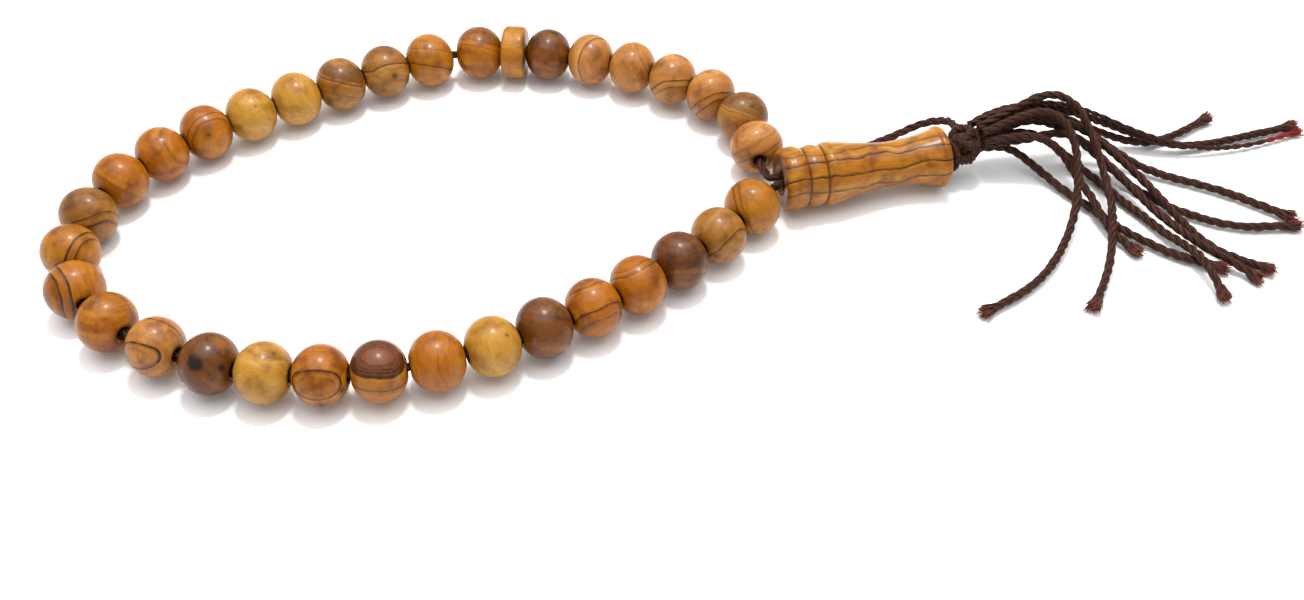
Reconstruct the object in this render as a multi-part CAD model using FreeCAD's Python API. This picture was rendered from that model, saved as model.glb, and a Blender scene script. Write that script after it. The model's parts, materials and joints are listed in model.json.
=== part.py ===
import FreeCAD, Part
import math
import os

os.makedirs("parts", exist_ok=True)

V = FreeCAD.Vector
UP = V(0, 0, 1)

# ---------------------------------------------------------------- driving dimensions (millimetres)
# The beads are threaded on one cord that lies flat: its line is one bead radius above the table.
bead_count = 33
bead_diameter = 10.3             # the largest bead; hand-turned beads run slightly under it
bead_spread = 0.12               # how much the diameters vary either side of their mean
bead_length = 8.9                # along the bore
bead_pole_radius = 1.65          # rim where the round side ends and the bore's mouth begins
bead_mouth_depth = 0.3           # chamfer that leads into the bore
bore_radius = 1.3

first_small_bead = 27            # the beads from here to the imame's back side are a little smaller
small_bead_diameter = 9.95
small_bead_length = 8.42

disc_diameter = 10.2             # the marker disc that counts off the beads
disc_length = 4.6
disc_land = 2.6                  # straight part of its rim

cord_diameter = 1.6              # twisted nylon, for the string and the tassel alike
thin_ply_diameter = 1.0          # one ply that has come out of its cord

string_height = bead_diameter / 2

bead_gap = 0.22                  # between the faces of neighbouring beads
flex_gap = 0.45                  # between the two beads at a flex point, where the string bends
cord_gap = 0.3                   # each run of string ends this far short of a flex point
# Slack that shows the string between two beads: bead number, then the extra distance to the next.
slack = {1: 0.5, 2: 0.2, 7: 0.12, 9: 0.1, 10: 0.1, 11: 0.15, 12: 1.0, 13: 1.7, 14: 1.4, 15: 0.75, 16: 0.3,
         18: 0.3, 19: 0.15, 26: 0.15, 28: 0.1, 29: 0.08, 30: 0.18, 31: 0.55, 32: 0.45}

# Corners of the string's route, seen from above. The loop is four runs. The string flexes at the
# middle of the straight between one run's last corner and the next run's first.
front_corners = [(43.0, 1.8), (34.9, -9.1), (14.7, -26.3), (-7.6, -38.0)]
left_corners = [(-26.3, -42.5), (-47.1, -41.0), (-67.3, -31.9), (-78.9, -19.2), (-77.9, -4.1)]
back_corners = [(-74.9, 5.0), (-63.8, 17.2), (-50.6, 25.8), (-36.9, 33.9), (-21.3, 41.0)]
right_corners = [(-12.7, 43.5), (2.0, 42.5), (15.7, 39.4), (28.3, 33.4), (37.7, 26.3),
                 (41.3, 18.7), (41.6, 10.1), (42.8, 5.9)]

# The imame lies on the table on its front ring and on the rim of its flared end.
imame_mouth = V(45.1, 3.8, 5.85)
imame_heading = 13.5             # degrees from +X
imame_length = 31.1
imame_ring_radius = 5.75
imame_groove_radius = 5.15
imame_shoulder_radius = 5.65
imame_waist_radius = 4.1
imame_flare_radius = 5.3
imame_mouth_rim_radius = 4.5
imame_end_rim_radius = 4.1
# Its outline, as (distance from the mouth, radius) pairs. Each arc is a start, a middle and an end.
imame_arcs = [
    # the mouth's rounded lip and the front ring
    [(0.0, imame_mouth_rim_radius), (0.45, 5.3), (1.5, imame_ring_radius)],
    [(1.5, imame_ring_radius), (3.2, imame_ring_radius), (4.3, imame_groove_radius)],
    # the second ring and the shoulder
    [(4.3, imame_groove_radius), (6.0, imame_shoulder_radius), (7.7, imame_groove_radius)],
    [(7.7, imame_groove_radius), (8.4, imame_shoulder_radius), (9.8, imame_shoulder_radius)],
]
# the hollow waist, as one smooth curve out to the flared end
imame_hollow = [(9.8, imame_shoulder_radius), (14.0, 4.95), (21.0, imame_waist_radius), (26.5, 4.6),
                (29.6, imame_flare_radius)]
imame_end_arc = [(29.6, imame_flare_radius), (31.3, 4.95), (imame_length, imame_end_rim_radius)]
imame_rest_span = 28.0           # from the front ring to the flared rim, the two places it rests on
imame_bore_radius = 2.2
mouth_radius = 2.9               # the bore opens out to this at both ends
leg_spacing = 1.8                # between the two legs of the string inside the imame
front_mouth_gap = 0.9            # the string's front run ends this far short of the imame's mouth
right_mouth_gap = 1.5            # and the right run, which comes in across the mouth
knot_gap = 0.25                  # from the imame's flared end to the knot

knot_centre = V(79.5, 12.9, 6.6)
knot_radius = 3.45
knot_neck_radius = 2.5
knot_neck_length = 3.0

# Routes of the tassel's strands, from the knot to the frayed end, as the corners of each line.
# Strands cross over one another and come to rest on the table.
strand_routes = [
    # 01 leaves over the top and falls to the front left
    [(82.7, 12.8, 9.5), (86.5, 13.8, 11.1), (90.3, 14.7, 12.3), (94.1, 15.4, 12.6),
     (97.5, 14.1, 11.3), (99.2, 10.7, 9.0), (99.4, 6.4, 6.4), (98.8, 1.4, 3.9),
     (96.9, -4.3, 2.0), (93.9, -10.3, 1.0), (89.7, -16.1, 0.8), (84.3, -20.8, 0.8), (78.3, -24.2, 0.8)],
    # 02 makes the high outer bow and falls to the front
    [(82.0, 14.5, 9.3), (85.9, 15.7, 11.1), (89.9, 17.0, 12.8), (93.7, 18.4, 13.9),
     (97.5, 18.4, 13.7), (100.5, 16.4, 12.1), (102.4, 13.1, 9.6), (103.8, 9.5, 6.7),
     (104.7, 4.5, 4.3), (104.6, -2.0, 3.5), (103.1, -9.4, 2.2), (100.9, -16.4, 1.0), (97.2, -23.1, 0.8)],
    # 03 is the short one
    [(83.1, 12.3, 7.9), (87.3, 12.3, 8.9), (91.3, 12.3, 9.4), (95.0, 11.5, 8.3),
     (97.7, 10.7, 5.8), (99.5, 8.7, 3.8), (100.9, 5.7, 2.7), (102.1, 1.5, 2.8),
     (103.3, -3.0, 1.7), (105.4, -6.6, 0.8), (108.0, -9.6, 0.8)],
    # 04
    [(82.2, 15.7, 4.9), (86.6, 16.5, 5.9), (91.2, 16.8, 6.5), (95.3, 16.3, 5.3),
     (98.9, 14.3, 3.2), (102.3, 11.7, 1.5), (105.7, 7.7, 0.8), (108.7, 3.0, 0.8),
     (111.7, -1.5, 0.8), (114.4, -6.1, 1.2), (116.9, -10.6, 2.5), (118.9, -15.5, 2.6), (120.2, -20.9, 0.8)],
    # 05 drops out of the bundle first and lies under the others
    [(82.8, 13.9, 4.9), (86.7, 14.8, 4.8), (90.3, 14.3, 3.4), (93.7, 11.8, 1.8),
     (96.9, 8.1, 0.9), (100.1, 4.1, 0.8), (103.2, 0.2, 0.8), (106.4, -3.8, 0.8),
     (109.9, -6.9, 0.8), (113.6, -9.9, 0.8), (117.8, -11.8, 0.8), (122.1, -13.6, 0.8)],
    # 06
    [(83.3, 13.2, 6.4), (87.4, 13.4, 6.7), (91.5, 13.3, 7.6), (95.7, 14.1, 8.5),
     (100.8, 14.5, 7.1), (104.9, 12.2, 4.5), (108.6, 7.7, 2.8), (112.1, 1.0, 2.2),
     (115.4, -5.9, 2.9), (119.3, -10.5, 2.6), (123.7, -12.7, 1.5), (127.6, -16.2, 0.8)],
    # 07
    [(82.9, 14.0, 8.0), (86.7, 15.0, 9.7), (90.9, 15.7, 10.7), (95.5, 15.8, 10.5),
     (101.7, 15.5, 8.3), (106.1, 13.6, 5.5), (110.5, 10.2, 3.3), (114.3, 3.2, 2.5),
     (117.7, -3.3, 1.3), (121.1, -8.4, 0.8), (125.4, -11.7, 0.8), (130.4, -14.0, 0.8)],
    # 08
    [(82.8, 14.9, 6.5), (86.9, 15.9, 7.8), (91.1, 16.9, 9.1), (95.8, 16.7, 8.8),
     (101.6, 15.6, 5.5), (106.3, 12.5, 2.5), (110.5, 7.9, 0.8), (114.9, 3.2, 0.8),
     (119.7, 0.0, 0.8), (125.2, -2.5, 0.8), (131.6, -3.3, 0.8), (138.4, -2.6, 0.8)],
    # 09
    [(82.2, 15.5, 8.0), (86.2, 16.9, 9.3), (90.7, 17.5, 10.7), (95.6, 17.5, 10.5),
     (102.0, 17.2, 7.6), (107.3, 15.6, 3.8), (112.3, 13.1, 1.6), (117.6, 10.7, 0.8),
     (123.1, 8.5, 0.8), (128.5, 5.8, 0.8), (133.2, 2.6, 0.8), (137.9, -0.7, 0.8)],
    # 10
    [(81.8, 16.3, 6.4), (86.4, 18.2, 7.7), (91.0, 18.5, 8.7), (95.7, 18.8, 8.5),
     (101.8, 19.8, 6.1), (106.9, 20.4, 3.3), (111.8, 20.2, 1.4), (116.4, 20.2, 0.8),
     (120.7, 21.6, 0.8), (125.3, 24.3, 0.8), (130.0, 27.7, 0.8)],
    # 11
    [(80.8, 16.7, 7.9), (85.4, 18.8, 9.8), (90.4, 19.3, 10.4), (95.5, 19.7, 10.2),
     (101.7, 20.3, 7.9), (107.0, 21.0, 5.3), (112.0, 20.5, 3.4), (116.9, 19.3, 2.3),
     (122.4, 18.8, 1.1), (129.1, 20.1, 0.8), (137.1, 22.6, 0.8), (146.0, 25.3, 0.8)],
    # 12 is the thin ply
    [(80.9, 15.8, 9.3), (85.6, 17.3, 10.6), (90.3, 18.5, 11.6), (95.2, 19.1, 11.7),
     (101.6, 20.1, 9.5), (106.8, 20.6, 6.9), (111.7, 19.9, 4.8), (117.0, 18.4, 3.5),
     (123.8, 17.7, 1.8), (131.0, 18.5, 0.8), (139.0, 20.6, 0.6), (147.0, 24.0, 0.6)],
    # 13 turns back and lies behind the imame
    [(78.6, 16.7, 7.4), (78.4, 19.0, 6.7), (77.3, 21.2, 5.5), (75.4, 22.7, 4.1),
     (73.0, 23.3, 2.7), (70.5, 23.0, 1.5), (68.0, 22.0, 0.9), (64.8, 20.2, 0.8),
     (61.5, 18.4, 0.8), (58.0, 17.0, 0.8), (54.3, 16.2, 0.8)],
]
thin_strand = 12
corner_share = 0.45              # how much of a run an arc may use
end_share = 0.9                  # the string's half runs at a flex point may be used nearly whole


# ---------------------------------------------------------------- small helpers
def save(shape, node):
    """Write one sub-part."""
    shape.exportStep("parts/" + node + ".step")


def at_height(corner, height):
    return V(corner[0], corner[1], height)


def midpoint(a, b):
    return (a + b) * 0.5


def line_between(a, b):
    return Part.LineSegment(a, b).toShape()


def rounded_route(points, first_share, last_share):
    """Straight runs joined by tangent arcs, each as large as its two runs allow."""
    edges = []
    radii = []
    here = points[0]
    last = len(points) - 2
    for index in range(1, len(points) - 1):
        corner = points[index]
        back = points[index - 1] - corner
        ahead = points[index + 1] - corner
        before = back.Length * (first_share if index == 1 else corner_share)
        after = ahead.Length * (last_share if index == last else corner_share)
        reach = min(before, after)
        back.normalize()
        ahead.normalize()
        half_turn = (math.pi - back.getAngle(ahead)) / 2
        radius = reach / math.tan(half_turn)
        start = corner + back * reach
        end = corner + ahead * reach
        inward = back + ahead
        inward.normalize()
        middle = corner + inward * (radius / math.cos(half_turn) - radius)
        edges.append(line_between(here, start))
        edges.append(Part.Arc(start, middle, end).toShape())
        radii.append(radius)
        here = end
    edges.append(line_between(here, points[-1]))
    return Part.Wire(edges), radii


def tube(wire, diameter):
    """A round cord along a wire."""
    first = wire.Edges[0]
    start = first.valueAt(first.FirstParameter)
    along = first.tangentAt(first.FirstParameter)
    section = Part.Wire(Part.makeCircle(diameter / 2, start, along))
    return wire.makePipeShell([section], True, False)


def report_tube(name, solid, wire, radii, diameter):
    """The tightest bend, and the volume against section times length."""
    expected = math.pi * diameter ** 2 / 4 * wire.Length
    print("%s length %.1f tightest radius %.1f volume %.3f of expected"
          % (name, wire.Length, min(radii), solid.Volume / expected))


def station(wire, distance):
    """The point at a distance along a wire."""
    left = distance
    for edge in wire.OrderedEdges:
        if left <= edge.Length:
            return edge.valueAt(edge.getParameterByLength(left))
        left -= edge.Length
    raise ValueError("station is past the end of the wire")


def placed(shape, point, direction):
    """A shape made along +Z about the origin, moved to a point and turned to a direction."""
    copy = shape.copy()
    copy.Placement = FreeCAD.Placement(point, FreeCAD.Rotation(UP, direction))
    return copy


def turned(outline):
    """A closed outline in the XZ plane, revolved about Z."""
    return Part.Face(Part.Wire(outline)).revolve(V(0, 0, 0), UP, 360)


# ---------------------------------------------------------------- beads
def bead_size(number):
    """Diameter and length of one bead; hand turning leaves no two quite alike."""
    if number >= first_small_bead:
        return small_bead_diameter, small_bead_length
    diameter = bead_diameter - bead_spread * (1 - math.sin(2.3 * number))
    return diameter, bead_length


def bead(diameter, length):
    """A near-round barrel with its bore, chamfered where the string enters."""
    half = length / 2
    inner = half - bead_mouth_depth
    low = V(bead_pole_radius, 0, -half)
    side = V(diameter / 2, 0, 0)
    high = V(bead_pole_radius, 0, half)
    bore_high = V(bore_radius, 0, inner)
    bore_low = V(bore_radius, 0, -inner)
    return turned([
        Part.Arc(low, side, high).toShape(),
        line_between(high, bore_high),
        line_between(bore_high, bore_low),
        line_between(bore_low, low),
    ])


def marker_disc():
    """A thin disc with a rounded rim, on the same bore."""
    half = disc_length / 2
    radius = disc_diameter / 2
    land = disc_land / 2
    shoulder = half - land
    face = radius - shoulder
    bend = shoulder * (1 - math.sqrt(0.5))
    inner = half - bead_mouth_depth
    mouth = bore_radius + bead_mouth_depth
    return turned([
        line_between(V(mouth, 0, half), V(face, 0, half)),
        Part.Arc(V(face, 0, half), V(radius - bend, 0, half - bend), V(radius, 0, land)).toShape(),
        line_between(V(radius, 0, land), V(radius, 0, -land)),
        Part.Arc(V(radius, 0, -land), V(radius - bend, 0, bend - half), V(face, 0, -half)).toShape(),
        line_between(V(face, 0, -half), V(mouth, 0, -half)),
        line_between(V(mouth, 0, -half), V(bore_radius, 0, -inner)),
        line_between(V(bore_radius, 0, -inner), V(bore_radius, 0, inner)),
        line_between(V(bore_radius, 0, inner), V(mouth, 0, half)),
    ])


# ---------------------------------------------------------------- imame
def outline_arc(places):
    """An arc of an outline through three (height, radius) places."""
    return Part.Arc(*[V(radius, 0, height) for height, radius in places]).toShape()


def imame():
    """The long head bead: two rings, a shoulder, a hollow waist and a flared end, bored through."""
    outline = [outline_arc(arc) for arc in imame_arcs]
    curve = Part.BSplineCurve()
    curve.interpolate([V(radius, 0, height) for height, radius in imame_hollow])
    outline.append(curve.toShape())
    outline.append(outline_arc(imame_end_arc))
    mouth_depth = mouth_radius - imame_bore_radius
    corners = [
        V(imame_end_rim_radius, 0, imame_length),
        V(mouth_radius, 0, imame_length),
        V(imame_bore_radius, 0, imame_length - mouth_depth),
        V(imame_bore_radius, 0, mouth_depth),
        V(mouth_radius, 0, 0),
        V(imame_mouth_rim_radius, 0, 0),
    ]
    for a, b in zip(corners, corners[1:]):
        outline.append(line_between(a, b))
    return turned(outline)


def imame_axis():
    """Direction of the imame: its heading, dipping until the flared rim meets the table."""
    dip = math.asin((imame_ring_radius - imame_flare_radius) / imame_rest_span)
    heading = math.radians(imame_heading)
    flat = math.cos(dip)
    return V(math.cos(heading) * flat, math.sin(heading) * flat, -math.sin(dip))


def cord_legs(axis):
    """The string's two legs, side by side through the imame to the knot."""
    side = UP.cross(axis)
    side.normalize()
    legs = []
    for sign in (-1, 1):
        shift = side * (sign * leg_spacing / 2)
        legs.append(Part.makeCylinder(cord_diameter / 2, imame_length, imame_mouth + shift, axis))
    return Part.makeCompound(legs)


def knot(axis):
    """A round knot, with a short neck that sits against the imame's flared end."""
    ball = Part.makeSphere(knot_radius, knot_centre)
    foot = imame_mouth + axis * (imame_length + knot_gap)
    neck = Part.makeCylinder(knot_neck_radius, knot_neck_length, foot, axis)
    return ball.fuse(neck).removeSplitter()


# ---------------------------------------------------------------- the string and its beads
def loop_points():
    """The string's corners at its height, and the points where it flexes."""
    runs = []
    for corners in (front_corners, left_corners, back_corners, right_corners):
        runs.append([at_height(corner, string_height) for corner in corners])
    front, left, back, right = runs
    flex_left = midpoint(front[-1], left[0])
    flex_back = midpoint(left[-1], back[0])
    flex_right = midpoint(back[-1], right[0])
    return runs, flex_left, flex_back, flex_right


def mouth_point(side, gap):
    """Where a run of string ends, in front of the imame's mouth and in line with its leg."""
    axis = imame_axis()
    across = UP.cross(axis)
    across.normalize()
    return imame_mouth - axis * gap + across * (side * leg_spacing / 2)


def toward(start, goal, distance):
    """A point a distance from start, on the way to goal."""
    step = goal - start
    step.normalize()
    return start + step * distance


def string_run(points, first_gap, last_gap):
    """One run of the string, cut short at each end."""
    first = toward(points[0], points[1], first_gap)
    last = toward(points[-1], points[-2], last_gap)
    wire, radii = rounded_route([first] + points[1:-1] + [last], end_share, end_share)
    return tube(wire, cord_diameter), wire, radii


def save_bead(wire, distance, length, node, shape):
    """A bead is straight, so on a bend its two faces sit on the string and its middle half way out."""
    low = station(wire, distance - length / 2)
    high = station(wire, distance + length / 2)
    point = midpoint(midpoint(low, high), station(wire, distance))
    direction = high - low
    direction.normalize()
    save(placed(shape, point, direction), node)
    print(node, "at %.3f %.3f along %.4f %.4f" % (point.x, point.y, direction.x, direction.y))


def bead_run(wire, numbers, step, start=flex_gap / 2):
    """Put numbered beads along a wire; step is +1 or -1, the way the numbers go."""
    face = start
    for number in numbers:
        diameter, length = bead_size(number)
        save_bead(wire, face + length / 2, length, "bead_%02d" % number, bead(diameter, length))
        slack_after = number if step > 0 else number - 1
        face += length + bead_gap + slack.get(slack_after, 0)
    return face


def build_loop():
    runs, flex_left, flex_back, flex_right = loop_points()
    front, left, back, right = runs
    # the flex points and the head are the corners of a parallelogram, so the loop closes as it moves
    head = flex_left + flex_right - flex_back
    for name, point in (("head", head), ("left", flex_left), ("back", flex_back), ("right", flex_right)):
        print("flex point", name, "%.3f %.3f" % (point.x, point.y))
    # each run of string with its corners and how far short of its two ends it stops
    routes = {
        "cord_front": ([flex_left] + front[::-1] + [mouth_point(-1, front_mouth_gap)], cord_gap, 0),
        "cord_left": ([flex_left] + left + [flex_back], cord_gap, cord_gap),
        "cord_back": ([flex_back] + back + [flex_right], cord_gap, cord_gap),
        "cord_right": ([flex_right] + right + [mouth_point(1, right_mouth_gap)], cord_gap, 0),
    }
    lines = {}
    for node, (points, first_gap, last_gap) in routes.items():
        solid, wire, radii = string_run(points, first_gap, last_gap)
        save(solid, node)
        report_tube(node, solid, wire, radii, cord_diameter)
        lines[node] = rounded_route(points, end_share, end_share)[0]
    bead_run(lines["cord_front"], range(8, 0, -1), -1)
    bead_run(lines["cord_left"], range(9, 18), 1)
    bead_run(lines["cord_back"], range(18, 26), 1)
    # bead 26, the marker disc, then the smaller beads up to the imame
    face = bead_run(lines["cord_right"], [26], 1)
    save_bead(lines["cord_right"], face + disc_length / 2, disc_length, "marker_disc", marker_disc())
    face += disc_length + bead_gap
    bead_run(lines["cord_right"], range(first_small_bead, bead_count + 1), 1, face)


# ---------------------------------------------------------------- the head and the tassel
def build_head():
    axis = imame_axis()
    save(placed(imame(), imame_mouth, axis), "imame")
    save(cord_legs(axis), "cord_legs")
    save(knot(axis), "knot")
    print("imame axis %.5f %.5f %.5f" % (axis.x, axis.y, axis.z))


def build_tassel():
    for number, route in enumerate(strand_routes, start=1):
        diameter = thin_ply_diameter if number == thin_strand else cord_diameter
        points = [V(*corner) for corner in route]
        wire, radii = rounded_route(points, corner_share, corner_share)
        solid = tube(wire, diameter)
        node = "tassel_strand_%02d" % number
        save(solid, node)
        report_tube(node, solid, wire, radii, diameter)


build_loop()
build_head()
build_tassel()
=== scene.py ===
import json
import math
import random

import bpy
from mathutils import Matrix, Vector, noise


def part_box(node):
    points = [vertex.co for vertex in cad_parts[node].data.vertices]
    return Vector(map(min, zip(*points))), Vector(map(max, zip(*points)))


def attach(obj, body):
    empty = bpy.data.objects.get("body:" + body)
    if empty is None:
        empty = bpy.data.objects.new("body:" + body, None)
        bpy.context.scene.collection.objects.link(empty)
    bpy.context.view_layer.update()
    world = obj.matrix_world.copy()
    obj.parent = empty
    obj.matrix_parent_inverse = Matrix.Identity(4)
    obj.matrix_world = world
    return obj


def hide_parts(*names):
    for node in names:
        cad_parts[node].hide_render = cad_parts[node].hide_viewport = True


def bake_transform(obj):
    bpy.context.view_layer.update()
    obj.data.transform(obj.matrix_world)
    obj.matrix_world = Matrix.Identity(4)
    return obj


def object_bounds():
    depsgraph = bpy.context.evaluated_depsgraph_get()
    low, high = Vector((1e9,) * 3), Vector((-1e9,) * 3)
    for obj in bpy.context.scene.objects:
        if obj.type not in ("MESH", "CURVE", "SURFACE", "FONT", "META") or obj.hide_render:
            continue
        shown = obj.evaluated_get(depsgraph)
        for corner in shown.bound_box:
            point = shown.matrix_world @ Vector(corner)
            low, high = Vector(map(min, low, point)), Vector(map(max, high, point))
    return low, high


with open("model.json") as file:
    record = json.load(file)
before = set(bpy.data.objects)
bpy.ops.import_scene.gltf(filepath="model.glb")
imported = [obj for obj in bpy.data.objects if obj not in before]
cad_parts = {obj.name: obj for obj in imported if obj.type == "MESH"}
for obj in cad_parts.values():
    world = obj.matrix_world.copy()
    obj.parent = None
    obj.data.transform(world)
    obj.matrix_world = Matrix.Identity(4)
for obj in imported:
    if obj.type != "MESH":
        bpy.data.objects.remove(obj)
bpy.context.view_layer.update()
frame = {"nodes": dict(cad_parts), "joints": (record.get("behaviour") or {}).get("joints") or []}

MM = 0.001
nodes = frame["nodes"]
joints = {joint["name"]: joint for joint in frame["joints"]}

# Directions as the camera sees them.
ELEVATION = math.radians(46.3)
RIGHT = Vector((1, 0, 0))
TOWARD = Vector((0, -math.cos(ELEVATION), math.sin(ELEVATION)))
UPWARD = Vector((0, math.sin(ELEVATION), math.cos(ELEVATION)))

# The imame: from its mouth, beside the loop, along its axis to its flared end.
IMAME_AXIS = Vector(joints["imame_spin"]["axis"])
IMAME_MOUTH = Vector(joints["imame_spin"]["pos_m"])
IMAME_MIDDLE = IMAME_MOUTH + IMAME_AXIS * 16 * MM
IMAME_END = IMAME_MOUTH + IMAME_AXIS * 31.1 * MM


# ---------------------------------------------------------------- camera
# The angle, the distance and the lens are fitted to the beads' places in the photograph.
CAMERA_TARGET = Vector((0.022, -0.0205, 0))
CAMERA_DISTANCE = 0.2497
CAMERA_LENS = 40.1


def make_camera():
    """Above and in front of the loop, looking down at the table."""
    data = bpy.data.cameras.new("camera")
    data.lens = CAMERA_LENS
    data.sensor_width = 36
    data.clip_start = 0.01
    camera = bpy.data.objects.new("camera", data)
    camera.location = CAMERA_TARGET + TOWARD * CAMERA_DISTANCE
    camera.rotation_mode = "QUATERNION"
    camera.rotation_quaternion = (-TOWARD).to_track_quat("-Z", "Y")
    bpy.context.scene.collection.objects.link(camera)
    bpy.context.scene.camera = camera


# ---------------------------------------------------------------- material helpers
def new_material(name):
    material = bpy.data.materials.new(name)
    material.use_nodes = True
    tree = material.node_tree
    tree.nodes.clear()
    return material, tree


def node(tree, kind, inputs=(), output=0, **settings):
    """Add a node; inputs are (name or index, value or socket) pairs. Gives one output socket."""
    made = tree.nodes.new(kind)
    for key, value in settings.items():
        setattr(made, key, value)
    for key, value in inputs:
        socket = made.inputs[key]
        if isinstance(value, bpy.types.NodeSocket):
            tree.links.new(value, socket)
        else:
            socket.default_value = value
    return made.outputs[output]


def finish_material(tree, shader):
    end = tree.nodes.new("ShaderNodeOutputMaterial")
    tree.links.new(shader, end.inputs["Surface"])


def calc(tree, operation, a, b=0.0, c=0.0):
    return node(tree, "ShaderNodeMath", [(0, a), (1, b), (2, c)], operation=operation)


def dot(tree, vector, direction):
    """How far a vector reaches along a direction."""
    return node(tree, "ShaderNodeVectorMath", [(0, vector), (1, tuple(direction))], "Value",
                operation="DOT_PRODUCT")


def combine(tree, x, y, z):
    return node(tree, "ShaderNodeCombineXYZ", [(0, x), (1, y), (2, z)])


def grain(tree, vector, scale, detail=2.0, roughness=0.5):
    return node(tree, "ShaderNodeTexNoise",
                [("Vector", vector), ("Scale", scale), ("Detail", detail), ("Roughness", roughness)], "Fac")


def fade(tree, value, low, high, start=0.0, end=1.0):
    """Map value from low..high onto start..end, smoothly, and hold it there."""
    return node(tree, "ShaderNodeMapRange",
                [("Value", value), ("From Min", low), ("From Max", high), ("To Min", start), ("To Max", end)],
                interpolation_type="SMOOTHSTEP")


# The colour sockets of the Mix node, which has its own for each kind of value.
MIX_AMOUNT, MIX_A, MIX_B, MIX_RESULT = 0, 6, 7, 2


def blend_colour(tree, amount, a, b):
    """Colour a where the amount is 0 and colour b where it is 1."""
    return node(tree, "ShaderNodeMix", [(MIX_AMOUNT, amount), (MIX_A, a), (MIX_B, b)], MIX_RESULT,
                data_type="RGBA")


def shade(red, green, blue):
    """A screen colour, 0 to 255, as a linear colour."""
    linear = []
    for value in (red, green, blue):
        value /= 255
        linear.append(value / 12.92 if value <= 0.04045 else ((value + 0.055) / 1.055) ** 2.4)
    return (*linear, 1)


def ramp(tree, value, stops):
    """A colour ramp of grey stops, each (position, strength)."""
    made = tree.nodes.new("ShaderNodeValToRGB")
    elements = made.color_ramp.elements
    stops = sorted((min(max(at, 0.0), 1.0), strength) for at, strength in stops)
    while len(elements) < len(stops):
        elements.new(0.5)
    for element, (at, strength) in zip(elements, stops):
        element.position = at
        element.color = (strength, strength, strength, 1)
    tree.links.new(value, made.inputs[0])
    return made.outputs[0]


# ---------------------------------------------------------------- olive wood
# Tones: the pale, the main and the deep colour of the wood between its dark lines.
TONES = {
    "amber": (shade(188, 130, 44), shade(160, 98, 6), shade(112, 58, 2)),
    "orange": (shade(184, 118, 30), shade(158, 90, 2), shade(106, 50, 1)),
    "yellow": (shade(196, 150, 72), shade(176, 126, 42), shade(132, 84, 18)),
    "brown": (shade(148, 90, 32), shade(106, 58, 8), shade(64, 28, 3)),
    "tan": (shade(176, 126, 60), shade(144, 92, 26), shade(96, 52, 10)),
    "rose": (shade(196, 138, 76), shade(168, 108, 44), shade(116, 68, 24)),
}
LINE = shade(34, 15, 6)
HEARTWOOD = shade(78, 40, 16)
CAP = shade(104, 54, 29)
KNOT_BLACK = shade(30, 17, 10)

WOOD_UNIT = 5 * MM               # the wood's figure is measured in this unit, about a bead's radius
WOOD_ROUGHNESS = 0.28

# How dark a growth line is across its width: half widths from its middle and the share of its strength
# there. It is sharp on one side and fades on the other, as growth lines do.
LINE_PROFILE = ((-1, 0.0), (-0.55, 1.0), (0.45, 1.0), (0.9, 0.45), (3.2, 0.0))
BAND_EDGE = 0.012                # half the stretch of the ramp in which a dark band begins
BAND_TO_END = 0.995              # a band that reaches this place on the ramp goes on to its end


def on_ramp(place):
    """A place at -1 to 1 across the wood, as a position on the ramp."""
    return place / 2 + 0.5


def line_stops(lines, bands):
    """Grey stops for dark growth lines and wider dark bands, placed at -1 to 1 across the wood."""
    stops = [(0.0, 0.0), (1.0, 0.0)]
    for at, width, strength in lines:
        stops += [(on_ramp(at) + width / 2 * out, strength * share) for out, share in LINE_PROFILE]
    for low, high, strength in bands:
        low, high = on_ramp(low), on_ramp(high)
        stops += [(low - BAND_EDGE, 0.0), (low + BAND_EDGE, strength)]
        if high < BAND_TO_END:
            stops += [(high - BAND_EDGE, strength), (high + BAND_EDGE * 3, 0.0)]
        else:
            stops = [stop for stop in stops if stop[0] < 0.999]
            stops.append((1.0, strength))
    return stops


class WoodPlaces:
    """Sockets that say where a point lies in the wood, in wood units from the piece's middle."""

    def __init__(self, tree, centre, layers, fibre, wander, curl, seed):
        layers = layers.normalized()
        fibre = (fibre or layers.orthogonal()).normalized()
        fibre = (fibre - layers * fibre.dot(layers)).normalized()
        place = node(tree, "ShaderNodeTexCoord", output="Object")
        place = node(tree, "ShaderNodeVectorMath", [(0, place), (1, tuple(centre))], operation="SUBTRACT")
        self.place = node(tree, "ShaderNodeVectorMath", [(0, place), ("Scale", 1 / WOOD_UNIT)],
                          operation="SCALE")
        depth = dot(tree, self.place, layers)
        self.run = dot(tree, self.place, fibre)
        self.side = dot(tree, self.place, layers.cross(fibre))
        # the same place, moved by the seed, so that no two pieces share their noise
        self.shifted = combine(tree, calc(tree, "ADD", self.run, seed),
                               calc(tree, "ADD", self.side, seed * 1.7), calc(tree, "ADD", depth, seed * 0.6))
        # the growth layers wander and bow a little
        warp = calc(tree, "SUBTRACT", grain(tree, self.shifted, 0.9, 2.0, 0.45), 0.5)
        warp = calc(tree, "MULTIPLY", warp, wander * 2)
        bow = calc(tree, "MULTIPLY", calc(tree, "MULTIPLY", self.side, self.side), curl)
        self.layer = calc(tree, "ADD", calc(tree, "ADD", depth, warp), bow)


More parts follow.
